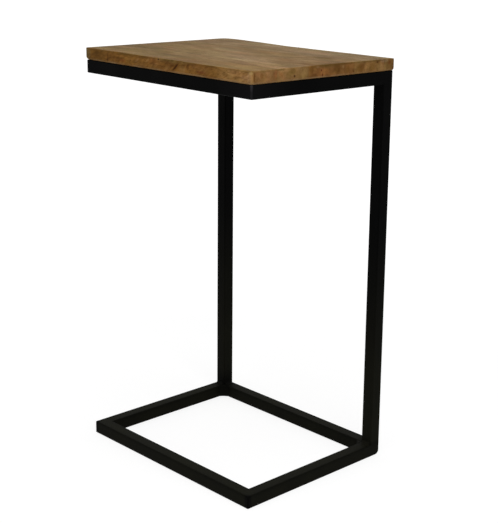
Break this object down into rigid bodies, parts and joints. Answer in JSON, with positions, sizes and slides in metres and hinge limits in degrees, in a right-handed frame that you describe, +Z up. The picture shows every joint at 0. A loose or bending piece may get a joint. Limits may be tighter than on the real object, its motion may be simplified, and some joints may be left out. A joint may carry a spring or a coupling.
{
  "type": "c shaped side table",
  "caption": "C-shaped side table: a solid wood top on a cantilevered black square-tube steel frame whose base slides under a sofa.",
  "frame": {"origin": "on the floor, at the middle of the table's footprint (the board's outline, which the base nearly fills)", "axes": "+X along the long side of the top, +Y towards the posts (the C opens to -Y), +Z up"},
  "size_m": [0.409, 0.313, 0.69],
  "materials": {
    "mango_wood": "satin",
    "black_painted_steel": "satin",
    "zinc_plated_steel": "satin"
  },
  "bodies": {
    "root": {"base_corner_beads": "black_painted_steel", "base_rail_back": "black_painted_steel", "base_rail_front": "black_painted_steel", "base_rail_left": "black_painted_steel", "base_rail_right": "black_painted_steel", "board_stave_1": "mango_wood", "board_stave_2": "mango_wood", "board_stave_3": "mango_wood", "board_stave_4": "mango_wood", "board_stave_5": "mango_wood", "post_foot_beads": "black_painted_steel", "post_head_beads": "black_painted_steel", "post_left": "black_painted_steel", "post_right": "black_painted_steel", "seam_welds": "black_painted_steel", "tab_back_left": "black_painted_steel", "tab_back_right": "black_painted_steel", "tab_beads": "black_painted_steel", "tab_front_left": "black_painted_steel", "tab_front_right": "black_painted_steel", "tab_left": "black_painted_steel", "tab_right": "black_painted_steel", "tab_screws": "zinc_plated_steel", "top_corner_beads": "black_painted_steel", "top_rail_back": "black_painted_steel", "top_rail_front": "black_painted_steel", "top_rail_left": "black_painted_steel", "top_rail_right": "black_painted_steel"}
  },
  "joints": []
}
